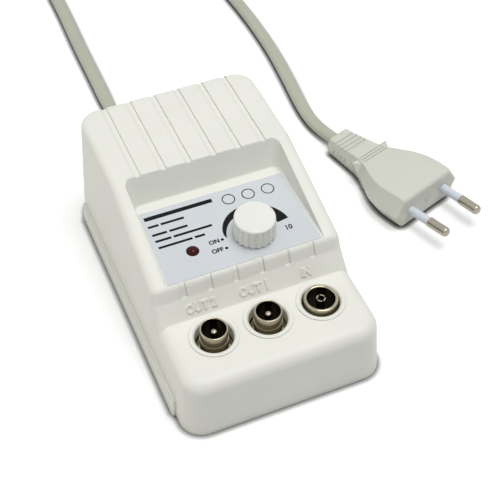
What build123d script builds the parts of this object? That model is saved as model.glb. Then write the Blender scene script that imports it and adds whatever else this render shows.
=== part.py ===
from build123d import *
import math
import os

# All lengths are in millimetres and all angles in degrees.
# X runs to the right, Y to the back and Z up. The origin is on the table, under the middle of the housing.

# Housing, outer form
housing_width = 74.0
housing_height = 48.7
shelf_length = 29.7
step_run = 4.7
lip_run = 1.9
rail_run = 42.1
top_length = 43.8
lip_drop = 12.9
nose_drop = 17.6
shelf_drop = 23.8
side_lean_share = 0.059
front_lean_share = 0.069
back_lean_share = 0.07
shelf_slope_share = 0.028
corner_radius = 8.2
wall = 2.0
shelf_edge_radius = 4.6
top_edge_radius = 2.8
overrun = 4.0
fit_gap = 0.1
round_share = 0.999

# Side strips along the foot of the housing
strip_depth = 1.3
strip_height = 8.0
strip_front_inset = 11.5
strip_back_inset = 9.0
strip_edge_radius = 1.0

# Grooves over the top and over the lip
groove_count = 6
groove_pitch = 9.5
groove_width = 2.0
groove_depth = 0.35
groove_drop = 4.5

# Recess with the sloping panel
rail_width = 7.8
recess_side_lean_share = 0.14
recess_depth = 10.47
recess_back_run = 4.2
lip_width = 0.9
panel_slope_share = 0.07
panel_thickness = 2.0
recess_foot_radius = 0.8
recess_corner_radius = 3.0

# Label on the panel
label_thickness = 0.2
label_margin = 0.35
label_back_margin = 3.8
label_front_margin = 0.4
label_knob_hole = 13.0
label_lamp_hole = 4.6

# Connector shelf
port_pitch = 19.66
port_row_x = 0.7
port_row_set_back = 9.5
port_hole = 13.4
port_collar_wall = 1.4
port_collar_drop = 3.2
port_pad = 17.2
port_pad_height = 0.25
port_chamfer = 0.6

# Base cover and its screws
cover_thickness = 2.2
cover_gap = 0.2
boss_side_inset = 8.5
boss_front_inset = 8.5
boss_back_inset = 8.2
boss_diameter = 6.6
boss_seat = 4.2
screw_diameter = 3.0
screw_length = 12.0
screw_head = 5.4
screw_head_height = 1.9
counterbore = 6.0
counterbore_depth = 2.1
screw_slot = 0.8
slot_share = 0.7
vent_count = 7
vent_pitch = 5.0
vent_width = 1.8
vent_length = 22.0
vent_row_set_in = 28.5

# Circuit boards
board_thickness = 1.6
post_diameter = 5.0
board_screw = 2.2
board_screw_length = 4.6
board_screw_head = 4.4
board_screw_head_height = 1.4
port_depth = 11.6
rf_board_side_gap = 9.1
rf_board_front_gap = 7.0
rf_board_length = 42.6
rf_post_inset = 3.4
power_board_height = 6.0
power_board_side_gap = 14.1
power_board_front_gap = 4.6
power_board_back_gap = 5.5
power_post_inset = 3.2

# Outlet connectors, with a male centre pin
plug_shell_diameter = 9.525
plug_shell_wall = 0.55
plug_shell_rise = 4.1
plug_shell_reach = 4.8
plug_root_diameter = 9.9
shell_rim_radius = 0.22
shell_flange = 12.7
shell_flange_thickness = 1.1
shell_flange_drop = 6.4
shell_tab_width = 2.2
shell_tab_thickness = 0.5
shell_tab_gap = 0.15
centre_pin = 2.4
centre_pin_set_back = 1.0
centre_pin_round_share = 0.4
insulator_rise = 5.0

# Inlet connector, with a female centre contact
socket_shell_diameter = 11.94
socket_bore = 9.75
socket_rim_radius = 0.44
socket_shell_rise = 1.6
contact_diameter = 3.2
contact_bore = 2.3
contact_set_back = 0.2
contact_slot = 0.5
contact_slot_depth = 5.0
socket_depth = 9.4

# Gain control
knob_x = 7.4
knob_set_back = 26.1
knob_top_diameter = 14.5
knob_foot_diameter = 15.1
knob_height = 8.2
knob_lift = 0.5
knob_edge_radius = 0.7
flute_top_gap = 0.9
knob_cavity_diameter = 12.4
knob_cavity_depth = 3.2
flute_count = 20
flute_radius = 0.75
flute_depth = 0.45
spindle_diameter = 6.0
spindle_rise = 7.6
spindle_bore_gap = 0.05
bush_gap = 0.05
bush_diameter = 7.0
bush_rise = 2.4
bush_hole_gap = 0.1
nut_across_flats = 10.0
nut_thickness = 1.9
pot_diameter = 16.4
pot_height = 10.5
pot_wall = 0.8
rotor_set_in = 0.9
rotor_thickness = 2.0
rotor_gap = 0.6
track_gap = 0.3
track_thickness = 1.0
terminal_count = 5
terminal_pitch = 2.6
terminal_size = 0.9
terminal_set_back = 5.6

# Indicator lamp
lamp_x = -15.3
lamp_set_back = 25.8
lamp_diameter = 5.0
lamp_peek = 1.2
lamp_barrel = 4.2
lamp_collar = 5.8
lamp_collar_height = 1.0
lamp_hole_gap = 0.15
lamp_lead = 0.5
lamp_lead_pitch = 2.54

# Mains transformer, of laminated core plates
core_width = 38.4
core_top_gap = 7.4
core_stack = 16.0
core_leg = 12.8
core_yoke = 6.4
core_set_back = 16.0
core_lift = 1.6
bobbin_gap = 0.2
bobbin_wall = 1.0
bobbin_side_gap = 0.3
bobbin_window_gap = 0.4
winding_set_in = 0.7
transformer_pin = 0.8
transformer_pin_pitch = 4.4

# Small parts on the power board
diode_diameter = 2.7
diode_length = 5.2
diode_lead = 0.8
diode_span = 10.0
diode_pitch = 4.4
diode_side_inset = 6.0
diode_row_set_back = 9.4
capacitor_diameter = 10.0
capacitor_height = 16.0
capacitor_side_inset = 13.0
capacitor_set_back = 8.9
regulator_width = 4.6
regulator_depth = 3.6
regulator_height = 4.8
regulator_lift = 2.0
regulator_side_inset = 4.0
regulator_set_back = 6.4
part_lead = 0.6
lead_pitch = 1.27

# Small parts on the radio board
disc_diameter = 4.6
disc_thickness = 2.0
disc_lift = 2.2
disc_leg_pitch = 2.6
disc_place_shares = [(-0.384, 0.636), (-0.134, 0.495), (0.045, 0.495)]
disc_place_shares += [(0.241, 0.507), (0.402, 0.624), (0.33, 0.92)]
resistor_diameter = 2.2
resistor_length = 5.8
resistor_span = 9.0
resistor_place_shares = [(-0.375, 0.46), (-0.161, 0.66), (0.366, 0.46), (-0.411, 0.775), (0.366, 0.761)]
transistor_width = 4.6
transistor_depth = 3.6
transistor_height = 4.8
transistor_lift = 1.6
transistor_place_shares = [(-0.321, 0.93), (-0.17, 0.376)]
splitter_outer = 8.0
splitter_inner = 4.0
splitter_thickness = 3.6
splitter_place_share = (0.193, 0.371)

# Leads inside the housing
lead_diameter = 1.6
lead_bend = 2.4
power_lead_pitch = 2.8
power_lead_inset = 21.0
power_lead_set_in = 3.4
power_lead_arch = 5.0
tail_diameter = 2.0
tail_pitch = 2.8
tail_straight = 2.2
tail_slant = 2.2
tail_rise = 3.2
tail_reach = 2.6
tail_bend = 1.3

# Mains cord, flat twin
cord_width = 5.6
cord_thickness = 3.5
exit_x = -8.3
exit_height = 9.0
grommet_neck_width = 8.4
grommet_neck_height = 6.4
grommet_hole_gap = 0.1
grommet_flange_width = 11.0
grommet_flange_height = 9.0
grommet_flange_thickness = 1.6
grommet_reach = 18.0
grommet_root_width = 10.8
grommet_root_height = 9.0
grommet_tip_width = 7.4
grommet_tip_height = 5.4
grommet_groove_count = 4
grommet_groove_width = 1.0
grommet_groove_depth = 0.7

# Flat plug with two pins
plug_x = 88.0
plug_y = 2.4
plug_yaw = -71.4
plug_pitch = 3.9
pin_spacing = 18.6
pin_tip_spacing = 17.8
pin_length = 19.0
pin_diameter = 4.0
pin_sleeve_length = 9.6
pin_sleeve_diameter = 3.5
pin_core_diameter = 2.9
pin_tip_radius = 1.6
pin_seat = 5.0
plug_stations = [0.0, 9.0, 16.0, 22.0, 28.5, 34.0, 50.0]
plug_half_widths = [17.9, 17.6, 16.3, 13.1, 9.6, 7.6, 6.0]
plug_half_heights = [6.85, 6.85, 6.3, 5.8, 5.3, 4.8, 3.8]
plug_flank_shares = [0.66, 0.6, 0.59, 0.48, 0.43, 0.33, 0.33]
neck_rib_count = 4
neck_rib_pitch = 2.3
neck_rib_width = 1.1
neck_rib_depth = 0.45
neck_rib_start = 38.6
front_edge_radius = 1.6
ledge_front = 27.0
ledge_tip = 32.2
ledge_root_share = 0.8
ledge_half_width = 10.0
ledge_half_height = 4.7
ledge_slant = 7.0
line_count = 3
line_start = 28.4
line_pitch = 1.5
line_width = 0.5
line_depth = 0.3
line_half_width = 6.2
dot_diameter = 2.0
dot_rise = 0.35

# Coil of the put away length
coil_x = 31.7
coil_y = 233.7
coil_turns = 4.5
coil_mean_radius = 30.8
coil_pitch = 6.4
coil_layer_step = 4.1
coil_lead_in = 5.6

# Values worked out from those above
housing_length = shelf_length + step_run + lip_run + rail_run + top_length
shelf_back_y = -housing_length / 2 + shelf_length
nose_y = shelf_back_y + step_run
lip_y = nose_y + lip_run
bend_y = lip_y + rail_run
lip_height = housing_height - lip_drop
nose_height = housing_height - nose_drop
shelf_height = housing_height - shelf_drop
recess_half_width = housing_width / 2 - rail_width
panel_back_y = bend_y - recess_back_run
panel_front_y = lip_y + lip_width
panel_back_height = housing_height - recess_depth
label_back_y = panel_back_y - label_back_margin
label_front_y = panel_front_y + label_front_margin
port_row_y = shelf_back_y - port_row_set_back
port_row_height = shelf_height - shelf_slope_share * port_row_set_back
port_xs = [port_row_x + step * port_pitch for step in (-1, 0, 1)]
knob_y = panel_back_y - knob_set_back
lamp_y = panel_back_y - lamp_set_back
boss_x = housing_width / 2 - boss_side_inset
boss_front_y = -housing_length / 2 + boss_front_inset
boss_back_y = housing_length / 2 - boss_back_inset
cover_inset = wall + cover_gap
rf_board_top = port_row_height - port_depth
rf_board_height = rf_board_top - board_thickness
rf_board_width = housing_width - 2 * rf_board_side_gap
rf_board_front_y = port_row_y - rf_board_front_gap
rf_board_back_y = rf_board_front_y + rf_board_length
power_board_top = power_board_height + board_thickness
power_board_width = housing_width - 2 * power_board_side_gap
power_board_front_y = rf_board_back_y + power_board_front_gap
power_board_back_y = housing_length / 2 - power_board_back_gap
core_y = power_board_back_y - core_set_back
core_window = (core_width - 2 * core_yoke - core_leg) / 2
bobbin_reach = core_window - bobbin_window_gap
track_diameter = pot_diameter - 2 * pot_wall - 2 * track_gap
rotor_diameter = track_diameter - 2 * rotor_set_in
core_height = housing_height - wall - core_top_gap - power_board_top - core_lift
shelf_tilt = math.degrees(math.atan(shelf_slope_share))
panel_tilt = math.degrees(math.atan(panel_slope_share))
floor_centre = cord_thickness / 2

def rail_height(y):
    """Height of the rails at the sides of the recess."""
    return lip_height + (housing_height - lip_height) * (y - lip_y) / (bend_y - lip_y)


def panel_height(y):
    """Height of the sloping panel."""
    return panel_back_height - panel_slope_share * (panel_back_y - y)


def shelf_at(y):
    """Height of the connector shelf."""
    return shelf_height + shelf_slope_share * (y - shelf_back_y)


def on_panel(x, y):
    """A place on the panel, with its Z square to the panel."""
    return Pos(x, y, panel_height(y)) * Rot(X=panel_tilt)


def on_shelf(x):
    """A place on the shelf in the row of connectors, with its Z square to the shelf."""
    return Pos(x, port_row_y, shelf_at(port_row_y)) * Rot(X=shelf_tilt)


def standing(shape, x, y, z):
    """A shape moved so that its foot stands at a place."""
    return Pos(x, y, z) * shape


def rod(diameter, length):
    """A cylinder that stands on its origin."""
    return Cylinder(diameter / 2, length, align=(Align.CENTER, Align.CENTER, Align.MIN))


def block(width, depth, height):
    """A box that stands on its origin."""
    return Box(width, depth, height, align=(Align.CENTER, Align.CENTER, Align.MIN))


def wall_outline(z, inset):
    """Outline of the leaning walls at one height."""
    width = housing_width - 2 * (side_lean_share * z + inset)
    front = -housing_length / 2 + front_lean_share * z + inset
    back = housing_length / 2 - back_lean_share * z - inset
    radius = max(corner_radius - inset, corner_radius / 4)
    return Pos(0, (front + back) / 2, z) * RectangleRounded(width, back - front, radius)


def leaning_block(inset, low, high):
    """Block with the housing's leaning walls."""
    return loft([wall_outline(low, inset), wall_outline(high, inset)], ruled=True)


def profile_prism(points, inset):
    """Prism of a side view that runs past both side walls, set in by one amount."""
    face = make_face(Polyline(*points, close=True))
    if inset > 0:
        face = offset(face, amount=-inset, kind=Kind.INTERSECTION)
    return extrude(Plane.YZ * face, amount=housing_width, both=True)


def rounded(shape, picked, radius):
    """Fillet for the edges whose middles satisfy a test."""
    edges = [edge for edge in shape.edges() if picked(edge.center())]
    return fillet(edges, radius)


def rear_form(inset, low):
    """The tall rear part with its sloping rails and its step, whose foot is buried in the shelf."""
    buried = shelf_height / 2
    run = (nose_y - shelf_back_y) / (nose_height - shelf_height)
    foot_y = shelf_back_y - run * (shelf_height - buried)
    points = [
        (foot_y, buried),
        (foot_y, -overrun * 2),
        (housing_length, -overrun * 2),
        (housing_length, housing_height),
        (bend_y, housing_height),
        (lip_y, lip_height),
        (nose_y, nose_height),
    ]
    form = leaning_block(inset, low, housing_height + overrun) & profile_prism(points, inset)

    def on_rim_or_lip(c):
        top = c.Z > housing_height - inset - wall / 2 and c.Y > bend_y + wall
        rail = abs(c.X) > housing_width / 4 and bend_y > c.Y > foot_y and c.Z > buried + wall
        lip = abs(c.X) < wall and nose_y - wall < c.Y < lip_y + wall + inset
        return top or rail or lip

    return rounded(form, on_rim_or_lip, top_edge_radius - inset)


def shelf_form(inset, low):
    """The low front part under the connector shelf, which runs on inside the rear part."""
    end_y = housing_length / 4
    points = [
        (-housing_length, -overrun * 2),
        (end_y, -overrun * 2),
        (end_y, shelf_at(end_y)),
        (-housing_length, shelf_at(-housing_length)),
    ]
    form = leaning_block(inset, low, housing_height + overrun) & profile_prism(points, inset)

    def on_shelf_rim(c):
        return abs(c.Z - shelf_at(c.Y) + inset) < wall / 2 and c.Y < end_y - wall - inset

    return rounded(form, on_shelf_rim, shelf_edge_radius - inset)


def stepped_form(inset, low):
    """The whole stepped wedge, set in from the outside by one amount."""
    return rear_form(inset, low) + shelf_form(inset, low)


def recess(grow):
    """The pocket over the panel, grown on all sides by one amount."""
    up = overrun + housing_height - panel_back_height
    lean = (bend_y - panel_back_y) / (housing_height - panel_back_height)
    points = [
        (panel_front_y, panel_height(panel_front_y)),
        (panel_back_y, panel_back_height),
        (panel_back_y + lean * up, panel_back_height + up),
        (panel_front_y, panel_back_height + up),
    ]
    face = make_face(Polyline(*points, close=True))
    if grow > 0:
        face = offset(face, amount=grow, kind=Kind.INTERSECTION)
    pocket = extrude(Plane.YZ * face, amount=housing_width, both=True)

    def slice_at(y):
        low, high = shelf_height, housing_height * 2
        half_low = recess_half_width + grow - recess_side_lean_share * (rail_height(y) - low)
        half_high = recess_half_width + grow - recess_side_lean_share * (rail_height(y) - high)
        return Face(
            Wire(
                Polyline(
                    (-half_low, y, low),
                    (half_low, y, low),
                    (half_high, y, high),
                    (-half_high, y, high),
                    close=True,
                ).edges()
            )
        )

    flanks = loft([slice_at(-housing_length / 2), slice_at(housing_length / 2)], ruled=True)
    pocket = pocket & flanks
    if grow > 0:
        return pocket
    near = wall / 2

    def at_back_corner(c):
        return abs(c.X) > recess_half_width / 2 and c.Y > panel_back_y and c.Z < housing_height

    def at_foot(c):
        return c.Z < panel_back_height + near and c.Y > panel_front_y + near

    pocket = rounded(pocket, at_back_corner, recess_corner_radius)
    return rounded(pocket, at_foot, recess_foot_radius)


def side_strips():
    """Low strips that stand proud of both side walls between the corners."""
    length = housing_length - strip_front_inset - strip_back_inset
    middle = (strip_front_inset - strip_back_inset) / 2
    band = standing(block(housing_width * 2, length, strip_height), 0, middle, 0)
    strips = leaning_block(-strip_depth, -overrun, strip_height) & band
    ends = [
        edge
        for edge in strips.edges()
        if abs(abs(edge.center().X) - housing_width / 2 - strip_depth) < strip_depth
        and abs(edge.center().Z - strip_height / 2) < strip_height / 4
    ]
    return fillet(ends, strip_edge_radius)


def boss_places():
    """Middles of the four screw bosses."""
    return [(sx * boss_x, y) for sx in (-1, 1) for y in (boss_front_y, boss_back_y)]


def grommet_plane():
    """Where the cord leaves the back wall, with X across, Y up and Z outwards."""
    back = housing_length / 2 - back_lean_share * exit_height
    return Plane(origin=(exit_x, back, exit_height), x_dir=(-1, 0, 0), z_dir=(0, 1, 0))


def slot(width, height):
    """A flat oval."""
    return RectangleRounded(width, height, height / 2 * round_share)


def top_housing():
    """The moulded upper shell."""
    outer = stepped_form(0, 0)
    shell = outer + side_strips()
    hollow = stepped_form(wall, -overrun) - recess(panel_thickness)
    shell = shell - hollow
    for x, y in boss_places():
        column = standing(rod(boss_diameter, housing_height), x, y, boss_seat)
        pilot = standing(rod(screw_diameter + fit_gap, screw_length + overrun), x, y, 0)
        shell = shell + (column & outer) - pilot
    for x in port_xs:
        place = on_shelf(x)
        collar = rod(port_hole + 2 * port_collar_wall, port_collar_drop + wall / 2)
        shell = shell + place * Pos(0, 0, -wall - port_collar_drop) * collar
        pad = rod(port_pad, wall / 2 + port_pad_height)
        shell = shell + place * Pos(0, 0, -wall / 2) * pad
    for x in port_xs:
        depth = wall + port_collar_drop + overrun
        hole = Pos(0, 0, -depth) * rod(port_hole, depth + overrun)
        mouth = Pos(0, 0, port_pad_height - port_chamfer) * Cone(
            port_hole / 2,
            port_hole / 2 + 2 * port_chamfer,
            2 * port_chamfer,
            align=(Align.CENTER, Align.CENTER, Align.MIN),
        )
        shell = shell - on_shelf(x) * (hole + mouth)
    shell = shell - recess(0)
    knob_hole = rod(bush_diameter + 2 * bush_hole_gap, overrun * 2)
    lamp_hole = rod(lamp_diameter + 2 * lamp_hole_gap, overrun * 2)
    shell = shell - on_panel(knob_x, knob_y) * Pos(0, 0, -overrun) * knob_hole
    shell = shell - on_panel(lamp_x, lamp_y) * Pos(0, 0, -overrun) * lamp_hole
    shell = shell - grooves()
    opening = slot(grommet_neck_width + 2 * grommet_hole_gap, grommet_neck_height + 2 * grommet_hole_gap)
    return shell - extrude(grommet_plane() * opening, amount=wall + overrun, both=True)


def grooves():
    """Shallow grooves that cross the top from back to front, and the lip."""
    strips = []
    back_length = housing_length / 2 + overrun - bend_y + wall
    lip_length = panel_front_y - shelf_back_y
    for index in range(groove_count):
        x = (index - (groove_count - 1) / 2) * groove_pitch
        strips.append(
            standing(
                block(groove_width, back_length, groove_drop + overrun),
                x,
                bend_y - wall + back_length / 2,
                housing_height - groove_drop,
            )
        )
        strips.append(
            standing(
                block(groove_width, lip_length, lip_height),
                x,
                shelf_back_y + lip_length / 2,
                nose_height,
            )
        )
    cutter = Compound(strips) - stepped_form(groove_depth, 0)
    return cutter


def base_cover():
    """The plate that closes the housing from below."""
    cover = leaning_block(cover_inset, 0, cover_thickness)
    for x, y in boss_places():
        cover = cover + standing(rod(boss_diameter, boss_seat), x, y, 0)
    for x, y in boss_places():
        cover = cover - standing(rod(screw_diameter + 2 * fit_gap, boss_seat), x, y, 0)
        cover = cover - standing(rod(counterbore, counterbore_depth), x, y, 0)
    pilot = rod(board_screw + fit_gap, board_screw_length)
    for places, height in ((rf_posts(), rf_board_height), (power_posts(), power_board_height)):
        foot = height + board_thickness - board_screw_length
        for x, y in places:
            cover = cover + standing(rod(post_diameter, height), x, y, 0)
            cover = cover - standing(pilot, x, y, foot)
    for index in range(vent_count):
        x = (index - (vent_count - 1) / 2) * vent_pitch
        vent = extrude(SlotOverall(vent_length, vent_width, rotation=90), amount=cover_thickness)
        cover = cover - standing(vent, x, housing_length / 2 - vent_row_set_in, 0)
    return cover


def rf_posts():
    """Posts under the radio board, two between the connectors and two at the back corners."""
    side = rf_board_width / 2 - rf_post_inset
    back_y = rf_board_back_y - rf_post_inset
    front = [(port_row_x + sx * port_pitch / 2, port_row_y) for sx in (-1, 1)]
    return front + [(sx * side, back_y) for sx in (-1, 1)]


def power_posts():
    """Posts under the corners of the power board."""
    side = power_board_width / 2 - power_post_inset
    ends = (power_board_front_y + power_post_inset, power_board_back_y - power_post_inset)
    return [(sx * side, y) for sx in (-1, 1) for y in ends]


def board(width, front, back, height, holes):
    """A drilled circuit board."""
    plate = standing(block(width, back - front, board_thickness), 0, (front + back) / 2, height)
    for x, y in holes:
        plate = plate - standing(rod(board_screw + 2 * fit_gap, board_thickness), x, y, height)
    return plate


def rf_board():
    """The radio board under the connectors and the panel."""
    ends = (rf_board_front_y, rf_board_back_y)
    return board(rf_board_width, *ends, rf_board_height, rf_posts())


def power_board():
    """The power board under the high rear part."""
    ends = (power_board_front_y, power_board_back_y)
    return board(power_board_width, *ends, power_board_height, power_posts())


def screw(shank, length, head, head_height):
    """A screw that points up from the foot of its head, with a cross in the head."""
    shape = rod(head, head_height) + rod(shank, head_height + length)
    for angle in (0, 90):
        shape = shape - Rot(Z=angle) * block(head * slot_share, screw_slot, head_height / 2)
    return shape


def housing_screws():
    """Screws driven upwards into the bosses, with the heads below their seats."""
    upright = screw(screw_diameter, screw_length, screw_head, screw_head_height)
    return [standing(upright, x, y, counterbore_depth - screw_head_height) for x, y in boss_places()]


def board_screws(places, seat):
    """Screws driven downwards into the posts, with the heads above the board."""
    shape = screw(board_screw, board_screw_length, board_screw_head, board_screw_head_height)
    turned = Rot(X=180) * shape
    return [standing(turned, x, y, seat + board_screw_head_height) for x, y in places]


def front_label():
    """The sticker that fills the panel."""
    corners = []
    for y in (label_front_y, label_back_y):
        lean = recess_side_lean_share * (rail_height(y) - panel_height(y))
        half = recess_half_width - lean - label_margin - recess_foot_radius / 2
        corners.append((half, y))
    (half_front, y_front), (half_back, y_back) = corners
    scale = 1 / math.cos(math.radians(panel_tilt))
    middle = on_panel(0, 0)
    face = make_face(
        Polyline(
            (-half_front, y_front * scale),
            (half_front, y_front * scale),
            (half_back, y_back * scale),
            (-half_back, y_back * scale),
            close=True,
        )
    )
    label = middle * extrude(face, amount=label_thickness)
    label = label - on_panel(knob_x, knob_y) * rod(label_knob_hole, label_thickness * 2)
    return label - on_panel(lamp_x, lamp_y) * rod(label_lamp_hole, label_thickness * 2)


def gain_knob():
    """The fluted knob, hollow underneath over the nut."""
    cone = Cone(
        knob_foot_diameter / 2,
        knob_top_diameter / 2,
        knob_height,
        align=(Align.CENTER, Align.CENTER, Align.MIN),
    )
    cone = fillet(cone.edges().sort_by(Axis.Z)[-1], knob_edge_radius)
    cutter = Cylinder(flute_radius, 2 * (knob_height - flute_top_gap))
    reach = knob_foot_diameter / 2 + flute_radius - flute_depth
    lean = math.degrees(math.atan((knob_foot_diameter - knob_top_diameter) / 2 / knob_height))
    for index in range(flute_count):
        angle = 360 / flute_count * index
        cone = cone - Rot(Z=angle) * Pos(reach, 0, 0) * Rot(Y=-lean) * cutter
    cavity = rod(knob_cavity_diameter, knob_cavity_depth)
    bore = rod(spindle_diameter + 2 * spindle_bore_gap, spindle_rise - knob_lift)
    return on_panel(knob_x, knob_y) * Pos(0, 0, label_thickness + knob_lift) * (cone - cavity - bore)


def pot_floor():
    """Depth of the inner floor of the control's case, below the panel's face."""
    return -panel_thickness - pot_height + pot_wall


def pot_spindle():
    """Spindle with the disc that carries the sliding contact."""
    disc_low = pot_floor() + track_thickness + rotor_gap
    length = label_thickness + spindle_rise - disc_low
    shape = rod(spindle_diameter, length) + rod(rotor_diameter, rotor_thickness)
    return on_panel(knob_x, knob_y) * Pos(0, 0, disc_low) * shape


def pot_case():
    """Round case with the threaded bush that goes through the panel."""
    can = rod(pot_diameter, pot_height)
    can = can - Pos(0, 0, pot_wall) * rod(pot_diameter - 2 * pot_wall, pot_height - 2 * pot_wall)
    bush = Pos(0, 0, pot_height - pot_wall) * rod(bush_diameter, pot_wall + panel_thickness + bush_rise)
    bore = rod(spindle_diameter + 2 * bush_gap, panel_thickness + bush_rise + 3 * pot_wall)
    bore = Pos(0, 0, pot_height - 2 * pot_wall) * bore
    return on_panel(knob_x, knob_y) * Pos(0, 0, -panel_thickness - pot_height) * (can + bush - bore)


def pot_track():
    """Disc with the resistive ring, on the floor of the case."""
    return on_panel(knob_x, knob_y) * Pos(0, 0, pot_floor()) * rod(track_diameter, track_thickness)


def pot_nut():
    """Six sided nut that holds the control to the panel."""
    nut = extrude(RegularPolygon(nut_across_flats / 2, 6, major_radius=False), amount=nut_thickness)
    nut = nut - rod(bush_diameter + 2 * fit_gap, nut_thickness)
    return on_panel(knob_x, knob_y) * nut


def pot_terminals():
    """Pins from the case down to the radio board."""
    pins = []
    case_foot = on_panel(knob_x, knob_y) * Pos(0, 0, -panel_thickness - pot_height)
    middle = case_foot.position
    for index in range(terminal_count):
        x = middle.X + (index - (terminal_count - 1) / 2) * terminal_pitch
        y = middle.Y - terminal_set_back
        top = middle.Z - (y - middle.Y) * -panel_slope_share
        length = top - rf_board_top + terminal_size
        pin = standing(block(terminal_size, terminal_size, length), x, y, rf_board_top)
        above = case_foot * block(pot_diameter * 2, pot_diameter * 2, pot_height)
        pins.append(pin - above)
    return pins


def led_lens():
    """Round lamp whose dome looks out of the label."""
    dome_centre = label_thickness + lamp_peek - lamp_diameter / 2
    barrel = Pos(0, 0, dome_centre - lamp_barrel) * rod(lamp_diameter, lamp_barrel)
    foot = dome_centre - lamp_barrel - lamp_collar_height
    collar = Pos(0, 0, foot) * rod(lamp_collar, lamp_collar_height)
    dome = Pos(0, 0, dome_centre) * Sphere(lamp_diameter / 2)
    return on_panel(lamp_x, lamp_y) * (barrel + collar + dome)


def led_leads():
    """Two wires from the lamp straight down to the radio board."""
    foot = label_thickness + lamp_peek - lamp_diameter / 2 - lamp_barrel - lamp_collar_height
    place = on_panel(lamp_x, lamp_y) * Pos(0, 0, foot)
    above = place * block(lamp_collar * 2, lamp_collar * 2, lamp_barrel)
    middle = place.position
    leads = []
    for side in (-1, 1):
        x = middle.X + side * lamp_lead_pitch / 2
        length = middle.Z - rf_board_top + lamp_lead
        lead = standing(block(lamp_lead, lamp_lead, length), x, middle.Y, rf_board_top)
        leads.append(lead - above)
    return leads


def shell_flange_ring(inner):
    """Ring high on a connector's shell, with two tabs down to the board."""
    low = shelf_at(port_row_y) - shell_flange_drop - rf_board_top
    ring = rod(shell_flange, shell_flange_thickness) - rod(inner, shell_flange_thickness)
    shape = Pos(0, 0, low) * ring
    reach = (shell_flange - shell_tab_thickness) / 2 - shell_tab_gap
    for side in (-1, 1):
        shape = shape + Pos(0, side * reach, 0) * block(shell_tab_width, shell_tab_thickness, low)
    return shape


def plug_shell(x):
    """Nickel tube of an outlet, a little thicker at its root."""
    top = shelf_at(port_row_y) + plug_shell_rise
    height = top - rf_board_top
    inner = plug_shell_diameter - 2 * plug_shell_wall
    tube = rod(plug_shell_diameter, height) + rod(plug_root_diameter, height - plug_shell_reach)
    tube = tube - rod(inner, height)
    rim = [edge for edge in tube.edges() if abs(edge.center().Z - height) < shell_rim_radius]
    tube = fillet(rim, shell_rim_radius) + shell_flange_ring(inner)
    return standing(tube, x, port_row_y, rf_board_top)


def plug_insulator(x):
    """Insulating disc inside an outlet's tube."""
    inner = plug_shell_diameter - 2 * plug_shell_wall - fit_gap
    disc = rod(inner, insulator_rise) - rod(centre_pin, insulator_rise)
    return standing(disc, x, port_row_y, rf_board_top)


def plug_pin(x):
    """Centre pin of an outlet."""
    height = shelf_at(port_row_y) + plug_shell_rise - centre_pin_set_back - rf_board_top
    pin = rod(centre_pin, height)
    pin = fillet(pin.edges().sort_by(Axis.Z)[-1], centre_pin * centre_pin_round_share)
    return standing(pin, x, port_row_y, rf_board_top)


def socket_shell(x):
    """Nickel shell of the inlet."""
    height = shelf_at(port_row_y) + socket_shell_rise - rf_board_top
    tube = rod(socket_shell_diameter, height) - rod(socket_bore, height)
    rim = [edge for edge in tube.edges() if abs(edge.center().Z - height) < shell_rim_radius]
    tube = fillet(rim, socket_rim_radius) + shell_flange_ring(socket_bore)
    return standing(tube, x, port_row_y, rf_board_top)


def socket_insulator(x):
    """Insulating disc at the foot of the inlet."""
    height = shelf_at(port_row_y) + socket_shell_rise - rf_board_top - socket_depth
    disc = rod(socket_bore - fit_gap, height) - rod(contact_diameter, height)
    return standing(disc, x, port_row_y, rf_board_top)


def socket_contact(x):
    """Slotted centre tube of the inlet."""
    height = shelf_at(port_row_y) + socket_shell_rise - contact_set_back - rf_board_top
    bore = Pos(0, 0, height - socket_depth) * rod(contact_bore, socket_depth)
    tube = rod(contact_diameter, height) - bore
    for angle in (0, 90):
        slit = Rot(Z=angle) * block(contact_diameter * 2, contact_slot, contact_slot_depth)
        tube = tube - Pos(0, 0, height - contact_slot_depth) * slit
    return standing(tube, x, port_row_y, rf_board_top)


def core_foot():
    """Height of the core's foot."""
    return power_board_top + core_lift


def transformer_core():
    """Stacked core plates with two windows."""
    core = standing(block(core_width, core_stack, core_height), 0, core_y, core_foot())
    window_height = core_height - 2 * core_yoke
    for side in (-1, 1):
        x = side * (core_leg + core_window) / 2
        window = block(core_window, core_stack, window_height)
        core = core - standing(window, x, core_y, core_foot() + core_yoke)
    return core


def bobbin_section(grow):
    """Width and depth of the winding form, grown from the core's leg."""
    return core_leg + 2 * (bobbin_gap + grow), core_stack + 2 * (bobbin_gap + grow)


def bobbin_floors():
    """Heights of the bobbin's three flanges."""
    low = core_foot() + core_yoke + bobbin_side_gap
    high = core_foot() + core_height - core_yoke - bobbin_side_gap - bobbin_wall
    return low, (low + high) / 2, high


def transformer_bobbin():
    """Split winding form round the core's middle leg."""
    low, middle, high = bobbin_floors()
    width, depth = bobbin_section(bobbin_wall)
    shape = standing(block(width, depth, high - low + bobbin_wall), 0, core_y, low)
    flange_width, flange_depth = bobbin_section(bobbin_reach - bobbin_gap - bobbin_side_gap)
    for z in (low, middle, high):
        shape = shape + standing(block(flange_width, flange_depth, bobbin_wall), 0, core_y, z)
    inner_width, inner_depth = bobbin_section(0)
    return shape - standing(block(inner_width, inner_depth, core_height), 0, core_y, low)


def winding(low, high):
    """One section of copper on the bobbin."""
    outer_width, outer_depth = bobbin_section(bobbin_reach - bobbin_gap - bobbin_side_gap - winding_set_in)
    inner_width, inner_depth = bobbin_section(bobbin_wall)
    coil = standing(block(outer_width, outer_depth, high - low), 0, core_y, low)
    return coil - standing(block(inner_width, inner_depth, high - low), 0, core_y, low)


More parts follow.
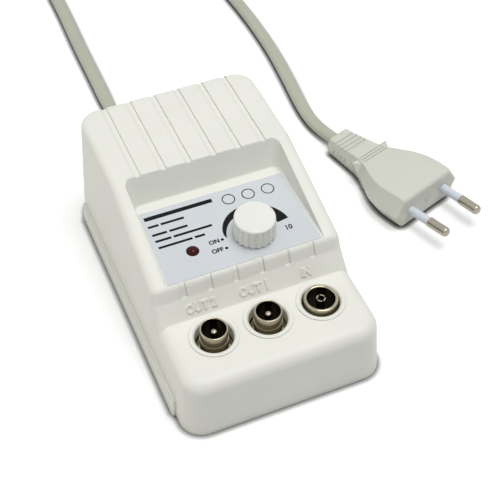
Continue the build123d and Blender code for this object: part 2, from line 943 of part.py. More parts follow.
def transformer_pins():
    """Pins from the bobbin's foot to the power board."""
    low, middle, high = bobbin_floors()
    depth = bobbin_section(bobbin_reach - bobbin_gap - bobbin_side_gap)[1]
    pins = []
    for side in (-1, 1):
        for step in (-1, 0, 1):
            pin = block(transformer_pin, transformer_pin, low - power_board_top)
            y = core_y + side * (depth / 2 - transformer_pin)
            pins.append(standing(pin, step * transformer_pin_pitch, y, power_board_top))
    return pins


def bridge(diameter, length, lead, span, x, y, z):
    """A lying round part on two bent leads."""
    centre = z + diameter / 2
    body = Pos(x, y, centre) * Rot(Y=90) * Cylinder(diameter / 2, length)
    wire = Pos(x, y, centre) * Rot(Y=90) * Cylinder(lead / 2, span)
    shape = body + wire
    for side in (-1, 1):
        shape = shape + standing(rod(lead, diameter / 2), x + side * (span - lead) / 2, y, z)
    return shape


def rectifier_diodes():
    """Four diodes side by side."""
    x = -power_board_width / 2 + diode_side_inset + diode_span / 2
    y = power_board_front_y + diode_row_set_back
    rows = [y + (index - 1.5) * diode_pitch for index in range(4)]
    sizes = (diode_diameter, diode_length, diode_lead, diode_span)
    return [bridge(*sizes, x, row, power_board_top) for row in rows]


def smoothing_capacitor():
    """Standing can capacitor."""
    can = rod(capacitor_diameter, capacitor_height)
    can = fillet(can.edges().sort_by(Axis.Z)[-1], capacitor_diameter / 12)
    groove = Pos(0, 0, capacitor_diameter / 6) * Torus(capacitor_diameter / 2, capacitor_diameter / 24)
    x = power_board_width / 2 - capacitor_side_inset
    return standing(can - groove, x, power_board_front_y + capacitor_set_back, power_board_top)


def flat_faced_part(width, depth, height, lift, x, y, z):
    """Small moulded part with one flat face and three legs."""
    body = rod(width, height) & Pos(0, width - depth, 0) * block(width, width, height)
    shape = Pos(0, 0, lift) * body
    for step in (-1, 0, 1):
        shape = shape + Pos(step * lead_pitch, 0, 0) * block(part_lead, part_lead, lift + part_lead)
    return standing(shape, x, y, z)


def voltage_regulator():
    """Small regulator on the power board."""
    x = power_board_width / 2 - regulator_side_inset
    y = power_board_front_y + regulator_set_back
    sizes = (regulator_width, regulator_depth, regulator_height, regulator_lift)
    return flat_faced_part(*sizes, x, y, power_board_top)


def on_rf_board(share):
    """A place on the radio board, from shares of its width and length."""
    across, along = share
    return across * rf_board_width, rf_board_front_y + along * rf_board_length


def rf_transistors():
    """Two amplifying transistors."""
    sizes = (transistor_width, transistor_depth, transistor_height, transistor_lift)
    places = map(on_rf_board, transistor_place_shares)
    return [flat_faced_part(*sizes, x, y, rf_board_top) for x, y in places]


def ceramic_capacitors():
    """Standing disc capacitors on two legs."""
    discs = []
    for x, y in map(on_rf_board, disc_place_shares):
        upright = Rot(X=90) * Cylinder(disc_diameter / 2, disc_thickness)
        disc = Pos(0, 0, disc_lift + disc_diameter / 2) * upright
        for side in (-1, 1):
            leg = block(part_lead, part_lead, disc_lift + disc_diameter / 2)
            disc = disc + Pos(side * disc_leg_pitch / 2, 0, 0) * leg
        discs.append(standing(disc, x, y, rf_board_top))
    return discs


def resistors():
    """Lying resistors."""
    return [
        bridge(resistor_diameter, resistor_length, part_lead, resistor_span, x, y, rf_board_top)
        for x, y in map(on_rf_board, resistor_place_shares)
    ]


def ferrite_splitter():
    """Ring core that divides the signal between the outlets."""
    ring = rod(splitter_outer, splitter_thickness) - rod(splitter_inner, splitter_thickness)
    x, y = on_rf_board(splitter_place_share)
    return standing(ring, x, y, rf_board_top)


def wire_along(points, diameter, bend):
    """A round wire that follows corners with small bends."""
    path = FilletPolyline(*points, radius=bend)
    start = Plane(origin=path @ 0, z_dir=path % 0)
    return sweep(start * Circle(diameter / 2), path=path)


def power_leads():
    """Two wires that arch from the power board to the radio board."""
    wires = []
    top = max(rf_board_top, power_board_top) + power_lead_arch
    for side in (-1, 1):
        x = -power_board_width / 2 + power_lead_inset + side * power_lead_pitch / 2
        wires.append(
            wire_along(
                [
                    (x, power_board_front_y + power_lead_set_in, power_board_top),
                    (x, power_board_front_y + power_lead_set_in, top),
                    (x, rf_board_back_y - power_lead_set_in, top),
                    (x, rf_board_back_y - power_lead_set_in, rf_board_top),
                ],
                lead_diameter,
                lead_bend,
            )
        )
    return wires


def mains_tails():
    """The cord's two cores, from the grommet over the edge of the power board and down to it."""
    start_y = grommet_plane().origin.Y - grommet_inner() - grommet_flange_thickness
    slant_y = start_y - tail_straight - tail_slant
    wires = []
    for side in (-1, 1):
        x = exit_x + side * tail_pitch / 2
        wires.append(
            wire_along(
                [
                    (x, start_y, exit_height),
                    (x, start_y - tail_straight, exit_height),
                    (x, slant_y, exit_height + tail_rise),
                    (x, slant_y - tail_reach, exit_height + tail_rise),
                    (x, slant_y - tail_reach, power_board_top),
                ],
                tail_diameter,
                tail_bend,
            )
        )
    return wires


def grommet_inner():
    """Depth of the grommet's inner flange behind the wall's outer face."""
    return wall + fit_gap + back_lean_share * grommet_flange_height / 2


def cord_grommet():
    """Tapered strain relief with a neck through the back wall and a flange inside."""
    plane = grommet_plane()
    outside = fit_gap + back_lean_share * grommet_root_height / 2
    root = plane.offset(outside) * slot(grommet_root_width, grommet_root_height)
    tip = plane.offset(grommet_reach) * slot(grommet_tip_width, grommet_tip_height)
    shape = loft([root, tip], ruled=True)
    for index in range(grommet_groove_count):
        share = (index + 1) / (grommet_groove_count + 1)
        at = grommet_reach * share
        width = grommet_root_width + (grommet_tip_width - grommet_root_width) * share
        height = grommet_root_height + (grommet_tip_height - grommet_root_height) * share
        left = slot(width - 2 * grommet_groove_depth, height - 2 * grommet_groove_depth)
        ring = slot(width * 2, height * 2) - left
        shape = shape - extrude(plane.offset(at) * ring, amount=grommet_groove_width)
    inner = grommet_inner()
    through = plane.offset(-inner)
    neck = extrude(through * slot(grommet_neck_width, grommet_neck_height), amount=inner + outside)
    flange = through * slot(grommet_flange_width, grommet_flange_height)
    flange = extrude(flange, amount=-grommet_flange_thickness)
    return shape + neck + flange


def cord_section():
    """The flat twin cord, as a flat oval."""
    return slot(cord_width, cord_thickness)


def grommet_end():
    """Where the cord comes out of the strain relief."""
    return grommet_plane().origin + Vector(0, grommet_reach, 0)


def plug_location():
    """Place of the plug's front face, with X out along the pins. The plug lies on its second station."""
    pitch = math.radians(plug_pitch)
    height = plug_half_heights[1] * math.cos(pitch) + plug_stations[1] * math.sin(pitch)
    return Pos(plug_x, plug_y, height) * Rot(Z=plug_yaw) * Rot(Y=-plug_pitch)


def neck_end():
    """Where the cord goes into the plug's neck, and the way into the plug."""
    place = plug_location()
    end = (place * Pos(-plug_stations[-1], 0, 0)).position
    return end, (place.position - end).normalized()


def coil_point(turns):
    """Point of the coil's middle line after some turns."""
    middle = coil_turns / 2
    away = abs(turns - middle)
    radius = coil_mean_radius + coil_pitch * (away - middle / 2)
    climb = min(max((turns - middle) * 2 + 0.5, 0), 1)
    angle = math.pi - 2 * math.pi * turns
    return Vector(
        coil_x + radius * math.cos(angle),
        coil_y + radius * math.sin(angle),
        floor_centre + coil_layer_step * climb,
    )


def coil_heading(turns):
    """Direction of the coil's middle line after some turns."""
    middle = coil_turns / 2
    step = 1 / 400
    if abs(turns - middle) < step:
        ahead = coil_point(turns + step) - coil_point(turns - step)
    elif abs(abs(turns - middle) - 1 / 4) < step:
        side = 1 if turns > middle else -1
        ahead = (coil_point(turns + side * step) - coil_point(turns)) * side
    else:
        ahead = coil_point(turns + step) - coil_point(turns - step)
    return ahead.normalized()


def biarc(start, start_way, end, end_way):
    """Two arcs that join at a point, with given directions at both ends."""
    chord = end - start
    ways = start_way + end_way
    square = 2 * (1 - start_way.dot(end_way))
    along = chord.dot(ways)
    reach = (-along + math.sqrt(along * along + square * chord.dot(chord))) / square
    joint = (start + end + (start_way - end_way) * reach) * 0.5
    first = TangentArc(start, joint, tangent=start_way)
    second = TangentArc(joint, end, tangent=first % 1)
    return [first, second]


def coil_path():
    """The whole coil as arcs, with a straight run at each end."""
    quarters = round(coil_turns * 4)
    stops = [index / 4 for index in range(quarters + 1)]
    first, last = coil_point(0), coil_point(coil_turns)
    way_in, way_out = coil_heading(0), coil_heading(coil_turns)
    edges = [Line(first - way_in * coil_lead_in, first)]
    for low, high in zip(stops, stops[1:]):
        edges += biarc(coil_point(low), coil_heading(low), coil_point(high), coil_heading(high))
    edges.append(Line(last, last + way_out * coil_lead_in))
    return Wire([edge.edge() for edge in edges])


def start_plane(path):
    """Plane square to a path's start, with its Y upwards."""
    way = path % 0
    return Plane(origin=path @ 0, x_dir=Vector(0, 0, 1).cross(way), z_dir=way)


def corner_radii(points):
    """Largest arcs that the runs of a route leave room for."""
    radii = []
    for before, here, after in zip(points, points[1:], points[2:]):
        first, second = here - before, after - here
        turn = first.get_angle(second)
        radii.append(0.45 * min(first.length, second.length) / math.tan(math.radians(turn / 2)))
    return radii


def cord_stretch(points, name):
    """A free stretch of the cord, as straight runs joined by arcs."""
    radii = corner_radii(points)
    path = FilletPolyline(*points, radius=radii)
    solid = sweep(start_plane(path) * cord_section(), path=path)
    ideal = path.length * cord_section().area
    print(name, "radii", [round(radius) for radius in radii])
    print(name, "length", round(path.length, 1), "volume ratio", round(solid.volume / ideal, 4))
    return solid


def rear_route():
    """From the strain relief, down to the table and back to the coil."""
    start = grommet_end()
    way_in = coil_heading(0)
    end = coil_point(0) - way_in * coil_lead_in
    return [
        start,
        Vector(exit_x, 87.7, exit_height),
        Vector(-8.4, 100.7, 5.2),
        Vector(-8.6, 113.7, 1.9),
        Vector(-8.2, 130.7, 1.75),
        Vector(-8.1, 155.7, 1.75),
        Vector(-7.2, 181.7, 1.75),
        end - way_in * 22.0,
        end,
    ]


def front_route():
    """From the coil, down to the table and forward to the plug."""
    way_out = coil_heading(coil_turns)
    start = coil_point(coil_turns) + way_out * coil_lead_in
    end, into_plug = neck_end()
    return [
        start,
        start + way_out * 14.0,
        Vector(70.3, 195.7, 1.9),
        Vector(71.3, 172.7, 1.75),
        Vector(73.1, 145.7, 1.75),
        Vector(72.9, 118.7, 1.75),
        Vector(70.7, 94.7, 1.75),
        Vector(68.3, 74.7, 2.2),
        end - into_plug * 11.0,
        end,
    ]


def coil_gap(path):
    """Least free space between the coil's turns, from points along it."""
    count = 900
    points = [path @ (index / count) for index in range(count + 1)]
    step = path.length / count
    skip = int(cord_width * 3 / step)
    reach = (cord_width - cord_thickness) / 2
    least = path.length
    for index, here in enumerate(points):
        for other in points[index + skip::3]:
            flat = math.hypot(here.X - other.X, here.Y - other.Y)
            side = max(flat - 2 * reach, 0)
            least = min(least, math.hypot(side, here.Z - other.Z) - cord_thickness)
    return least


def mains_cord_coil():
    """The put away length in its turns."""
    path = coil_path()
    print("coil length", round(path.length, 1), "least gap between turns", round(coil_gap(path), 2))
    above = path.moved(Location((0, 0, cord_width * 4)))
    return sweep(start_plane(path) * cord_section(), path=path, binormal=above)


def plug_section(index):
    """Six sided section of the plug's body, square to its axis."""
    wide, high = plug_half_widths[index], plug_half_heights[index]
    top = wide - plug_flank_shares[index] * high
    right = [(top, high), (wide, 0), (top, -high)]
    left = [(-top, -high), (-wide, 0), (-top, high)]
    outline = Polyline(*right, *left, close=True)
    plane = Plane(origin=(-plug_stations[index], 0, 0), x_dir=(0, 1, 0), z_dir=(-1, 0, 0))
    return plane * make_face(outline)


def along_plug(values, at):
    """A measure of the plug at a distance behind its front face."""
    for index in range(1, len(values)):
        near, far = plug_stations[index - 1], plug_stations[index]
        if at <= far:
            break
    return values[index - 1] + (values[index] - values[index - 1]) * (at - near) / (far - near)


def plug_body():
    """Moulded plug with a ribbed neck and a finger ridge."""
    count = len(plug_stations)
    body = loft([plug_section(index) for index in range(count - 2)])
    neck = loft([plug_section(count - 3), plug_section(count - 2), plug_section(count - 1)], ruled=True)
    front = [edge for edge in body.edges() if edge.center().X > -front_edge_radius / 2]
    body = fillet(front, front_edge_radius)
    dot = Rot(Y=90) * rod(dot_diameter, dot_rise)
    body = body + neck + finger_ledge() + dot
    for line in ledge_lines():
        body = body - line
    for index in range(neck_rib_count):
        at = neck_rib_start + index * neck_rib_pitch
        wide = along_plug(plug_half_widths, at) - neck_rib_depth
        high = along_plug(plug_half_heights, at) - neck_rib_depth
        ring = Box(neck_rib_width, wide * 4, high * 4) - Box(neck_rib_width, wide * 2, high * 2)
        body = body - Pos(-at, 0, 0) * ring
    seat = Pos(0, 0, -pin_seat) * rod(pin_sleeve_diameter, pin_seat + overrun)
    for place in pin_places():
        body = body - place * Rot(Y=90) * seat
    return plug_location() * body


def finger_ledge():
    """Ledges at both sides that flare out to a slanting wall, for the fingers to pull on."""
    root = plug_half_widths[-2] * ledge_root_share
    faces = []
    for z, forward in ((ledge_half_height, 0), (-ledge_half_height, ledge_slant)):
        outline = [(forward - ledge_front, root), (forward - ledge_tip, ledge_half_width)]
        mirrored = [(x, -y) for x, y in reversed(outline)]
        faces.append(Pos(0, 0, z) * make_face(Polyline(*outline, *mirrored, close=True)))
    return loft(faces, ruled=True)


def ledge_lines():
    """Fine lines pressed into the plug's upper face, in front of the ledge's wall."""
    lines = []
    for index in range(line_count):
        at = line_start + index * line_pitch
        foot = along_plug(plug_half_heights, at) - line_depth
        lines.append(standing(block(line_width, 2 * line_half_width, overrun), -at, 0, foot))
    return lines


def pin_places():
    """Feet of the two pins in the plug's front face, turned slightly towards each other."""
    turn = math.degrees(math.asin((pin_spacing - pin_tip_spacing) / 2 / pin_length))
    return [Pos(0, side * pin_spacing / 2, 0) * Rot(Z=-side * turn) for side in (-1, 1)]


def plug_pins():
    """Metal pins, thinner where the sleeves sit."""
    pins = []
    for place in pin_places():
        tip = rod(pin_diameter, pin_length - pin_sleeve_length)
        tip = fillet(tip.edges().sort_by(Axis.Z)[-1], pin_tip_radius)
        core = rod(pin_core_diameter, pin_seat + pin_sleeve_length)
        pin = Pos(0, 0, -pin_seat) * core + Pos(0, 0, pin_sleeve_length) * tip
        pins.append(plug_location() * place * Rot(Y=90) * pin)
    return pins


def plug_pin_sleeves():
    """Insulating sleeves round the feet of the pins."""
    sleeves = []
    for place in pin_places():
        tube = rod(pin_sleeve_diameter, pin_seat + pin_sleeve_length)
        tube = tube - rod(pin_core_diameter + fit_gap, pin_seat + pin_sleeve_length)
        sleeves.append(plug_location() * place * Rot(Y=90) * Pos(0, 0, -pin_seat) * tube)
    return sleeves


def make_parts():
    """All the pieces by name."""
    pieces = {
        "top_housing": top_housing(),
        "base_cover": base_cover(),
        "housing_screws": housing_screws(),
        "front_label": front_label(),
        "gain_knob": gain_knob(),
        "pot_spindle": pot_spindle(),
        "pot_case": pot_case(),
        "pot_track": pot_track(),
        "pot_nut": pot_nut(),
        "pot_terminals": pot_terminals(),
        "led_lens": led_lens(),
        "led_leads": led_leads(),
        "rf_board": rf_board(),
        "rf_board_screws": board_screws(rf_posts(), rf_board_top),
        "power_board": power_board(),
        "power_board_screws": board_screws(power_posts(), power_board_top),
        "transformer_core": transformer_core(),
        "transformer_bobbin": transformer_bobbin(),
        "primary_winding": winding(bobbin_floors()[0] + bobbin_wall, bobbin_floors()[1]),
        "secondary_winding": winding(bobbin_floors()[1] + bobbin_wall, bobbin_floors()[2]),
        "transformer_pins": transformer_pins(),
        "rectifier_diodes": rectifier_diodes(),
        "smoothing_capacitor": smoothing_capacitor(),
        "voltage_regulator": voltage_regulator(),
        "rf_transistors": rf_transistors(),
        "ceramic_capacitors": ceramic_capacitors(),
        "resistors": resistors(),
        "ferrite_splitter": ferrite_splitter(),
        "power_leads": power_leads(),
        "mains_tails": mains_tails(),
        "cord_grommet": cord_grommet(),
        "mains_cord_rear": cord_stretch(rear_route(), "rear stretch"),
        "mains_cord_coil": mains_cord_coil(),
        "mains_cord_front": cord_stretch(front_route(), "front stretch"),
        "plug_body": plug_body(),
        "plug_pins": plug_pins(),
        "plug_pin_sleeves": plug_pin_sleeves(),
    }
    for name, x in zip(("out_left", "out_middle"), port_xs):
        pieces[name + "_shell"] = plug_shell(x)
        pieces[name + "_insulator"] = plug_insulator(x)
        pieces[name + "_pin"] = plug_pin(x)
    pieces["in_shell"] = socket_shell(port_xs[2])
    pieces["in_insulator"] = socket_insulator(port_xs[2])
    pieces["in_contact"] = socket_contact(port_xs[2])
    return pieces


def write_parts(pieces):
    """One STEP file for each piece."""
    os.makedirs("parts", exist_ok=True)
    for name, shape in pieces.items():
        whole = Compound(children=list(shape)) if isinstance(shape, list) else shape
        export_step(whole, os.path.join("parts", name + ".step"))


write_parts(make_parts())
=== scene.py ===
import math

import bmesh
import bpy
from mathutils import Matrix, Vector


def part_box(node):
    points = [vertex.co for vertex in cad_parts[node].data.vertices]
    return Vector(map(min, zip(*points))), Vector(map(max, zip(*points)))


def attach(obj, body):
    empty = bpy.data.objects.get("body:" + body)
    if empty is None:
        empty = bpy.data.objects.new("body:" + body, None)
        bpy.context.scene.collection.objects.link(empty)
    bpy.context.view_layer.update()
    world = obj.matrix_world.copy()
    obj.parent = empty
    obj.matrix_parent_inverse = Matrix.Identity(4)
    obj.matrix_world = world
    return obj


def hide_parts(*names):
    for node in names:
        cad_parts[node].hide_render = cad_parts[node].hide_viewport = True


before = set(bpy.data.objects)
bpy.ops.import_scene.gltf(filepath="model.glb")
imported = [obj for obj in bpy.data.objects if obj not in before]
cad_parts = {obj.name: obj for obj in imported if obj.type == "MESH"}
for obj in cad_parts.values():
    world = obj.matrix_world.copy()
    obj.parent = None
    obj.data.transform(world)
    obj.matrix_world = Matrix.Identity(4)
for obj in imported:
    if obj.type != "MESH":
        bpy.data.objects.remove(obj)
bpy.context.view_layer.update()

MM = 0.001

# The photograph's camera
CAMERA_PLACE = Vector((-0.096592, -0.255160, 0.318823))
CAMERA_TARGET = Vector((0.015831, 0.010612, 0.0))
CAMERA_LENS = 80.13
SENSOR_WIDTH = 36.0

# The mains cord, a flat twin
CORD_WIDTH = 5.6 * MM
CORD_THICKNESS = 3.5 * MM
CORD_SIDES = 24
FLOOR_CENTRE = CORD_THICKNESS / 2
ROUTE_RESOLUTION = 8
ROUTE_ORDER = 3

# The cord's places in millimetres, from the strain relief to the coil
REAR_POINTS = [
    (-8.3, 87.7, 9.0),
    (-8.4, 100.7, 5.2),
    (-8.6, 113.7, 1.9),
    (-8.2, 130.7, 1.75),
    (-8.1, 155.7, 1.75),
    (-7.2, 181.7, 1.75),
]
# The same from the coil to the plug
FRONT_POINTS = [
    (70.3, 195.7, 1.9),
    (71.3, 172.7, 1.75),
    (73.1, 145.7, 1.75),
    (72.9, 118.7, 1.75),
    (70.7, 94.7, 1.75),
    (68.3, 74.7, 2.2),
]
# Straight runs that lead into the coil, out of it and into the plug
RUN_INTO_COIL = 22.0 * MM
RUN_OUT_OF_COIL = 14.0 * MM
RUN_INTO_PLUG = 11.0 * MM

# The plug's place, which the cord runs into; the rest is how far back the plug touches the table
PLUG_PLACE = Vector((88.0, 2.4, 0)) * MM
PLUG_HALF_HEIGHT = 6.85 * MM
PLUG_REST = 9.0 * MM
PLUG_YAW = -71.4
PLUG_PITCH = 3.9
PLUG_LENGTH = 50.0 * MM

# The coil of the length that is put away
COIL_CENTRE = Vector((31.7, 233.7, 0)) * MM
COIL_TURNS = 4.5
COIL_MEAN_RADIUS = 30.8 * MM
COIL_PITCH = 6.4 * MM
COIL_LAYER_STEP = 4.1 * MM
COIL_CLIMB_TURNS = 0.5
COIL_LEAD_IN = 5.6 * MM
COIL_POINTS_PER_TURN = 16
HEADING_STEP = 1 / 400

# The sloping panel with the label
PANEL_BACK_Y = 13.1 * MM
PANEL_BACK_HEIGHT = 38.23 * MM
PANEL_SLOPE_SHARE = 0.07
LABEL_THICKNESS = 0.2 * MM
PRINT_THICKNESS = 0.03 * MM
PRINT_LIFT = 0.005 * MM
TEXT_RESOLUTION = 4

# The dial's black wedge round the knob, with angles in degrees
KNOB = Vector((7.4, -13.0)) * MM
WEDGE_START = 172
WEDGE_END = 8
WEDGE_INNER = 9.6 * MM
WEDGE_THIN = 0.1 * MM
WEDGE_THICK = 4.4 * MM
WEDGE_GROWTH = 0.55
WEDGE_STEPS = 48

# Words on the label, in millimetres: text, place and size
LABEL_WORDS = [("ON", (-7.0, -11.8), 2.4), ("OFF", (-7.3, -15.8), 2.4), ("10", (19.6, -15.1), 2.8)]
LABEL_BOLD = 0.09 * MM
# Dots beside the words of the switch
LABEL_DOTS = [(-4.0, -11.8), (-4.0, -15.8)]
DOT_RADIUS = 0.55 * MM
DOT_SIDES = 20
# Bars that stand where print is: left end, width and height
LABEL_BARS = [
    ((-26.2, 6.2), 25.4, 1.7),
    ((-26.1, 2.4), 3.9, 0.95),
    ((-21.4, 2.4), 8.6, 0.95),
    ((-25.9, -1.5), 5.4, 0.95),
    ((-19.6, -1.5), 6.7, 0.95),
    ((-25.8, -4.4), 5.8, 0.95),
    ((-19.1, -4.4), 14.2, 0.95),
    ((-25.7, -7.4), 12.4, 0.95),
    ((-12.4, -7.4), 3.7, 0.95),
]
# Plain rings at the upper right, by their middles
LABEL_RINGS = [(4.9, 4.5), (12.4, 4.3), (19.9, 4.1)]
RING_RADIUS = 2.4 * MM
RING_LINE = 0.36 * MM
RING_SIDES = 32

# The step between the lip and the connector shelf, with its raised names
NOSE = Vector((0, -26.7, 31.1)) * MM
SHELF_BACK = Vector((0, -31.4, 24.9)) * MM
PORT_NAMES = [("OUT 2", -19.0), ("OUT 1", 0.5), ("IN", 19.9)]
NAME_SIZE = 4.4 * MM
NAME_SQUEEZE = 0.86
NAME_RISE = 0.4 * MM
NAME_EDGE = 0.12 * MM
NAME_BOLD = 0.2 * MM
NAME_DROP = 0.6 * MM

# Colours of the surfaces
SHELL_COLOUR = (0.805, 0.805, 0.745)
KNOB_COLOUR = (0.82, 0.825, 0.775)
LABEL_COLOUR = (0.62, 0.65, 0.68)
INK_COLOUR = (0.004, 0.004, 0.005)
CORD_COLOUR = (0.46, 0.47, 0.385)
PLUG_COLOUR = (0.65, 0.655, 0.59)
SLEEVE_COLOUR = (0.66, 0.69, 0.75)
BLACK_COLOUR = (0.016, 0.015, 0.011)
NICKEL_COLOUR = (0.38, 0.35, 0.285)
BARREL_COLOUR = (0.41, 0.37, 0.275)
ZINC_COLOUR = (0.66, 0.68, 0.7)
ALUMINIUM_COLOUR = (0.7, 0.7, 0.7)
TIN_COLOUR = (0.75, 0.75, 0.76)
STEEL_COLOUR = (0.3, 0.3, 0.31)
COPPER_COLOUR = (0.7, 0.3, 0.12)
LENS_COLOUR = (0.05, 0.001, 0.002)
BOARD_COLOUR = (0.03, 0.2, 0.06)
TRACK_COLOUR = (0.2, 0.1, 0.05)
BOBBIN_COLOUR = (0.7, 0.66, 0.52)
CERAMIC_COLOUR = (0.62, 0.3, 0.08)
RESISTOR_COLOUR = (0.6, 0.45, 0.25)
FERRITE_COLOUR = (0.06, 0.06, 0.065)
CAN_COLOUR = (0.02, 0.025, 0.06)
LEAD_COLOUR = (0.5, 0.03, 0.03)
TAIL_COLOUR = (0.2, 0.1, 0.04)

# Sizes of the clouds of shade and of the fine relief, and the relief's depth
PLASTIC_CLOUDS = 18 * MM
PLASTIC_GRAIN = 0.35 * MM
PLASTIC_DEPTH = 0.02 * MM
METAL_CLOUDS = 3 * MM
METAL_GRAIN = 0.12 * MM
METAL_DEPTH = 0.004 * MM
LENS_CLOUDS = 1.5 * MM
CLOUD_DETAIL = 3.0
GRAIN_DETAIL = 2.0

# Levels of the noise between which a shade changes
TINT_LOW = 0.3
TINT_HIGH = 0.7

# How far roughness wanders: up and down in plastic, times these shares in metal
PLASTIC_ROUGHNESS_STEP = 0.05
METAL_ROUGHNESS_SHARES = (0.8, 1.25)

# Edges of the mouldings look rounded by these radii
SHELL_EDGE = 0.7 * MM
PLUG_EDGE = 0.8 * MM
EDGE_SAMPLES = 6

# Which finish each CAD node takes
NODE_FINISH = {
    "top_housing": "shell",
    "base_cover": "base",
    "housing_screws": "zinc",
    "front_label": "label",
    "gain_knob": "knob",
    "pot_spindle": "aluminium",
    "pot_case": "aluminium",
    "pot_track": "track",
    "pot_nut": "nickel",
    "pot_terminals": "tin",
    "led_lens": "lens",
    "led_leads": "tin",
    "rf_board": "board",
    "rf_board_screws": "zinc",
    "power_board": "board",
    "power_board_screws": "zinc",
    "transformer_core": "steel",
    "transformer_bobbin": "bobbin",
    "primary_winding": "copper",
    "secondary_winding": "copper",
    "transformer_pins": "tin",
    "rectifier_diodes": "black",
    "smoothing_capacitor": "can",
    "voltage_regulator": "black",
    "rf_transistors": "black",
    "ceramic_capacitors": "ceramic",
    "resistors": "resistor",
    "ferrite_splitter": "ferrite",
    "power_leads": "lead",
    "mains_tails": "tail",
    "cord_grommet": "cord",
    "mains_cord_rear": "cord",
    "mains_cord_coil": "cord",
    "mains_cord_front": "cord",
    "plug_body": "plug",
    "plug_pins": "nickel",
    "plug_pin_sleeves": "sleeve",
    "out_left_shell": "barrel",
    "out_left_insulator": "black",
    "out_left_pin": "nickel",
    "out_middle_shell": "barrel",
    "out_middle_insulator": "black",
    "out_middle_pin": "nickel",
    "in_shell": "barrel",
    "in_insulator": "black",
    "in_contact": "nickel",
}

# The table: a painted shade darkens its colour and glow within the contact's reach, and its glow
# grows with the distance
FLOOR_HALF = 4.0
FLOOR_SHADE = (0.8, 0.8, 0.8, 1)
FLOOR_ROUGHNESS = 0.8
FLOOR_SPECULAR = 0.2
CONTACT_REACH = 2.4 * MM
CONTACT_POWER = 2.6
CONTACT_SAMPLES = 8
NEAR_GLOW = 0.3
FAR_GLOW = 1.0
GLOW_START = 0.3
GLOW_END = 0.8

# Lamps, which point at the origin
KEY_PLACE = Vector((0.2, -0.12, 1.14))
KEY_SIZE = 0.6
KEY_POWER = 6.2
KEY_COLOUR = (1, 1, 1)
FILL_PLACE = Vector((-0.95, 0.1, 0.2))
FILL_SIZE = 0.5
FILL_POWER = 1.4
FILL_COLOUR = (1, 0.985, 0.88)

# The world's light by height, from the horizon to overhead
SKY = [(0.0, 0.06), (0.12, 0.03), (0.45, 0.26), (1.0, 0.95)]

BLACK = (0, 0, 0, 1)
WHITE = (1, 1, 1, 1)


def link(name, data):
    """A new object in the scene for its data."""
    piece = bpy.data.objects.new(name, data)
    bpy.context.scene.collection.objects.link(piece)
    return piece


def look(piece, place, target):
    """Puts a camera or lamp at a place and points it at a target."""
    piece.location = place
    piece.rotation_mode = "QUATERNION"
    piece.rotation_quaternion = (target - place).to_track_quat("-Z", "Y")


def make_camera():
    """Camera at the photograph's place."""
    data = bpy.data.cameras.new("camera")
    data.lens = CAMERA_LENS
    data.sensor_width = SENSOR_WIDTH
    camera = link("camera", data)
    look(camera, CAMERA_PLACE, CAMERA_TARGET)
    bpy.context.scene.camera = camera


def smooth(piece, angle=35):
    """Smooth shading, except over edges sharper than an angle."""
    for polygon in piece.data.polygons:
        polygon.use_smooth = True
    piece.data.set_sharp_from_angle(angle=math.radians(angle))


def paint(piece, material):
    """Gives every face of a piece one material."""
    piece.data.materials.clear()
    piece.data.materials.append(material)


def mesh_data(name, mesh):
    """Data of a mesh that has been built, which is freed."""
    data = bpy.data.meshes.new(name)
    mesh.to_mesh(data)
    mesh.free()
    return data


def curve_mesh(curve):
    """Mesh of a curve or text, which is removed."""
    carrier = link(curve.name, curve)
    bpy.context.view_layer.update()
    mesh = bpy.data.meshes.new_from_object(carrier)
    bpy.data.objects.remove(carrier)
    bpy.data.curves.remove(curve)
    return mesh


def coil_point(turns):
    """Point of the coil's middle line after some turns; the coil's second layer lies on its first."""
    middle = COIL_TURNS / 2
    radius = COIL_MEAN_RADIUS + COIL_PITCH * (abs(turns - middle) - middle / 2)
    climb = min(max((turns - middle) / COIL_CLIMB_TURNS + 0.5, 0), 1)
    angle = math.pi - 2 * math.pi * turns
    height = FLOOR_CENTRE + COIL_LAYER_STEP * climb
    return COIL_CENTRE + Vector((radius * math.cos(angle), radius * math.sin(angle), height))


def coil_heading(turns, step):
    """Direction of the coil's middle line, from a point one step away."""
    return ((coil_point(turns + step) - coil_point(turns)) * math.copysign(1, step)).normalized()


def plug_matrix():
    """Place of the plug's front face, with X out along the pins."""
    pitch = math.radians(PLUG_PITCH)
    height = PLUG_HALF_HEIGHT * math.cos(pitch) + PLUG_REST * math.sin(pitch)
    place = Matrix.Translation(PLUG_PLACE + Vector((0, 0, height)))
    turn = Matrix.Rotation(math.radians(PLUG_YAW), 4, "Z")
    return place @ turn @ Matrix.Rotation(math.radians(-PLUG_PITCH), 4, "Y")


def cord_route():
    """Points of the whole cord, from the strain relief through the coil to the plug."""
    low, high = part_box("cord_grommet")
    start = Vector(((low.x + high.x) / 2, high.y, (low.z + high.z) / 2))
    way_in = coil_heading(0, HEADING_STEP)
    way_out = coil_heading(COIL_TURNS, -HEADING_STEP)
    coil_start = coil_point(0) - way_in * COIL_LEAD_IN
    coil_end = coil_point(COIL_TURNS) + way_out * COIL_LEAD_IN
    count = round(COIL_TURNS * COIL_POINTS_PER_TURN)
    plug = plug_matrix()
    end = plug @ Vector((-PLUG_LENGTH, 0, 0))
    into_plug = (plug.to_translation() - end).normalized()
    points = [start] + [Vector(point) * MM for point in REAR_POINTS]
    points += [coil_start - way_in * RUN_INTO_COIL, coil_start]
    points += [coil_point(index / COIL_POINTS_PER_TURN) for index in range(count + 1)]
    points += [coil_end, coil_end + way_out * RUN_OUT_OF_COIL]
    points += [Vector(point) * MM for point in FRONT_POINTS]
    return points + [end - into_plug * RUN_INTO_PLUG, end]


